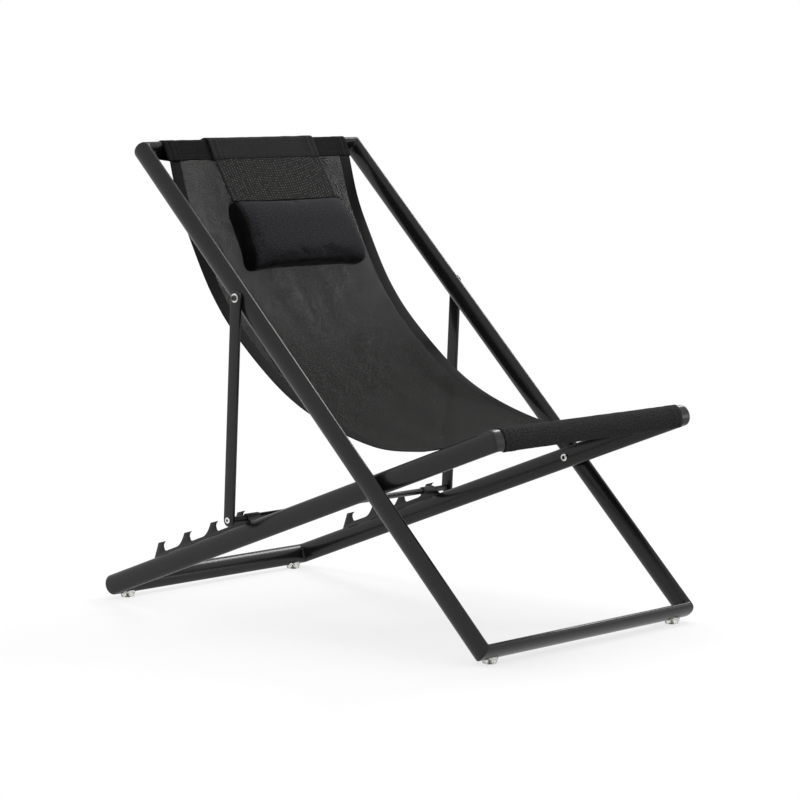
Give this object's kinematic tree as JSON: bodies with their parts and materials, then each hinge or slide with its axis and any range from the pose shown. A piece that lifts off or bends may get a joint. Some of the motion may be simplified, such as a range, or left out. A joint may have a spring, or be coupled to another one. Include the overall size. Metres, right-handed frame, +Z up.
{
  "type": "folding sling chair",
  "caption": "Folding patio chair: two crossed tube frames, a hanging mesh sling, a prop whose rod lies in hooked plates, and a headrest pillow on a flap.",
  "frame": {"origin": "on the ground, under the middle of the chair's outline", "axes": "+Z up, the sitter faces -Y, +X to the sitter's left"},
  "size_m": [0.6348, 1.0226, 0.9075],
  "materials": {
    "frame_paint": "satin black powder coat",
    "plate_paint": "satin black powder coat",
    "steel": "stainless",
    "dark_steel": "blackened",
    "nylon": "matt",
    "clear_plastic": "clear, slightly cloudy",
    "sling_mesh": "open woven mesh",
    "sleeve_cloth": "doubled woven mesh",
    "pillow_cloth": "smooth twill"
  },
  "bodies": {
    "seat_frame": {"seat_rail_right": "frame_paint", "seat_rail_left": "frame_paint", "seat_front_bar": "frame_paint", "seat_rear_bar": "frame_paint", "pivot_spacer_right": "nylon", "pivot_spacer_left": "nylon", "hook_plate_right": "plate_paint", "hook_plate_left": "plate_paint", "rear_foot_right": "clear_plastic", "rear_foot_left": "clear_plastic", "rear_foot_screw_right": "dark_steel", "rear_foot_screw_left": "dark_steel", "sling_front_sleeve": "sleeve_cloth", "sling_sheet": "sling_mesh"},
    "back_frame": {"back_rail_right": "frame_paint", "back_rail_left": "frame_paint", "back_bottom_bar": "frame_paint", "back_top_bar": "frame_paint", "pivot_bolt_right": "steel", "pivot_bolt_left": "steel", "pivot_insert_right": "steel", "pivot_insert_left": "steel", "prop_insert_right": "steel", "prop_insert_left": "steel", "front_foot_right": "clear_plastic", "front_foot_left": "clear_plastic", "front_foot_screw_right": "dark_steel", "front_foot_screw_left": "dark_steel", "sling_top_sleeve": "sleeve_cloth", "headrest_loop": "sleeve_cloth"},
    "prop": {"prop_bar_right": "frame_paint", "prop_bar_left": "frame_paint", "rod_sleeve_right": "nylon", "rod_sleeve_left": "nylon", "prop_collar_right": "nylon", "prop_collar_left": "nylon", "rod_screw_right": "steel", "rod_screw_left": "steel", "prop_spacer_right": "nylon", "prop_spacer_left": "nylon", "prop_washer_right": "steel", "prop_washer_left": "steel", "prop_bolt_right": "dark_steel", "prop_bolt_left": "dark_steel", "prop_rod": "frame_paint"},
    "headrest": {"headrest_flap": "sling_mesh", "headrest_pillow": "pillow_cloth"}
  },
  "joints": [
    {"name": "recline", "type": "hinge", "parent": "seat_frame", "child": "back_frame", "pos_m": [0, -0.22042, 0.29409], "axis": [-1, 0, 0], "range_deg": [0, 55], "deforming": ["sling_sheet"]},
    {"name": "prop_swing", "type": "hinge", "parent": "seat_frame", "child": "prop", "pos_m": [0, 0.12746, 0.19826], "axis": [-1, 0, 0], "range_deg": [0, 98.45]},
    {"name": "headrest_lift", "type": "hinge", "parent": "back_frame", "child": "headrest", "pos_m": [0.0105, 0.34438, 0.87335], "axis": [-1, 0, 0], "range_deg": [0, 100]}
  ],
  "couplings": [
    {"joint": "prop_swing", "follows": "recline", "ratio": 1.79}
  ]
}
